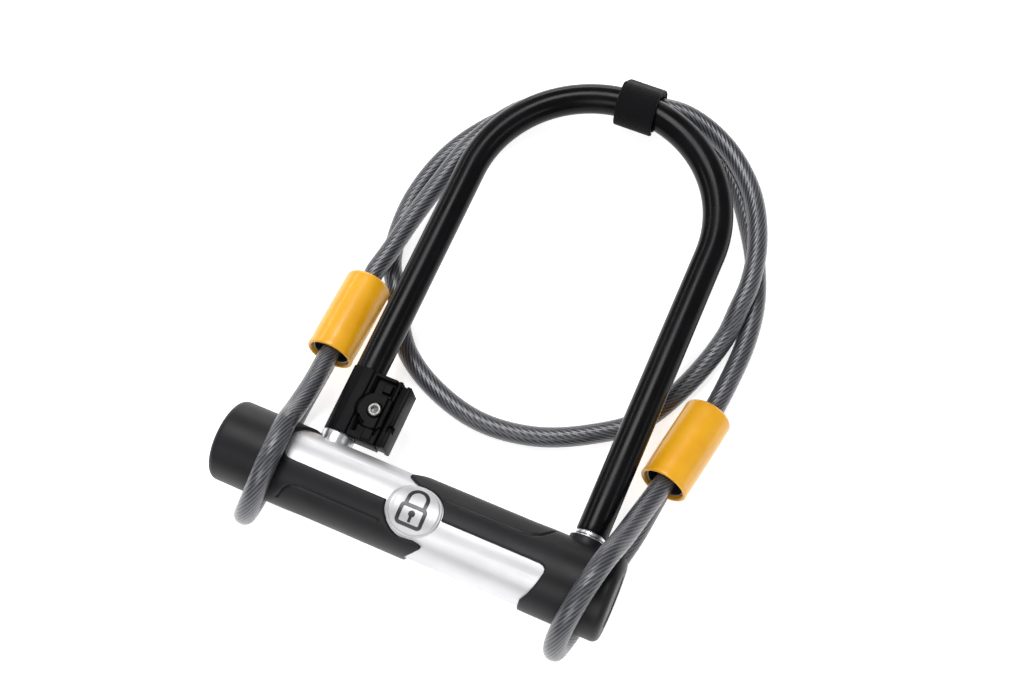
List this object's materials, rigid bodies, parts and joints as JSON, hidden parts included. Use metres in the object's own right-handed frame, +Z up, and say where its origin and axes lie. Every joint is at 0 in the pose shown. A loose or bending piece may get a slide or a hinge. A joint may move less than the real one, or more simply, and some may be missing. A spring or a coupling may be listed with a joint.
{
  "type": "u lock",
  "caption": "Bicycle U-lock: steel shackle in a locking crossbar, with a looped cable held by its end eyes and a strap, and a frame bracket.",
  "frame": {"origin": "middle of the bounding box of the lock, its bracket and its strap, without the free cable and its ferrules", "axes": "+X along the crossbar from the keyed end to the plain end, +Y from the crossbar to the arch of the shackle, +Z up off the surface that the lock lies on"},
  "size_m": [0.2203, 0.299, 0.0626],
  "materials": {
    "hardened_steel": "satin",
    "satin_sleeve": "satin",
    "badge_metal": "satin",
    "cylinder_brass": "machined",
    "grip_plastic": "soft, finely grained",
    "shackle_vinyl": "glossy",
    "bracket_plastic": "moulded",
    "strap_fabric": "woven hook-and-loop",
    "cable_vinyl": "smoky clear over twisted steel",
    "ferrule_vinyl": "glossy",
    "crimp_aluminium": "drawn"
  },
  "bodies": {
    "crossbar": {"crossbar_tube": "hardened_steel", "crossbar_sleeve": "satin_sleeve", "left_grip_cap": "grip_plastic", "right_grip_cap": "grip_plastic", "badge_plate": "badge_metal", "left_leg_collar": "hardened_steel", "right_leg_collar": "hardened_steel", "left_bar_guide": "hardened_steel", "right_bar_guide": "hardened_steel", "end_block": "hardened_steel", "lock_cylinder": "cylinder_brass", "cylinder_pin": "hardened_steel", "cable_main": "cable_vinyl", "cable_eye_left": "cable_vinyl", "cable_eye_right": "cable_vinyl", "ferrule_cover_left": "ferrule_vinyl", "ferrule_cover_right": "ferrule_vinyl", "crimp_sleeve_left": "crimp_aluminium", "crimp_sleeve_right": "crimp_aluminium"},
    "core": {"key_plug": "cylinder_brass", "tailpiece": "hardened_steel", "locking_bar": "hardened_steel"},
    "dust_cover": {"dust_cover": "grip_plastic"},
    "shackle": {"shackle_rod": "hardened_steel", "shackle_coating": "shackle_vinyl", "left_foot_ring": "hardened_steel", "right_foot_ring": "hardened_steel", "cable_strap": "strap_fabric"},
    "bracket": {"bracket_upper": "bracket_plastic", "bracket_lower": "bracket_plastic", "bracket_rail": "bracket_plastic", "bracket_screw": "hardened_steel", "bracket_nut": "hardened_steel"}
  },
  "joints": [
    {"name": "shackle_slide", "type": "slide", "parent": "crossbar", "child": "shackle", "axis": [0, 1, 0], "range_m": [0, 0.045], "deforming": ["cable_main"]},
    {"name": "key_turn", "type": "hinge", "parent": "crossbar", "child": "core", "pos_m": [-0.08, -0.12175, 0.00525], "axis": [1, 0, 0], "range_deg": [0, 90]},
    {"name": "dust_cover_slide", "type": "slide", "parent": "crossbar", "child": "dust_cover", "axis": [0, 0, 1], "range_m": [0, 0.0093]},
    {"name": "bracket_swivel", "type": "hinge", "parent": "shackle", "child": "bracket", "pos_m": [-0.05095, -0.08, 0.00525], "axis": [0, 1, 0], "range_deg": [-90, 20]}
  ]
}
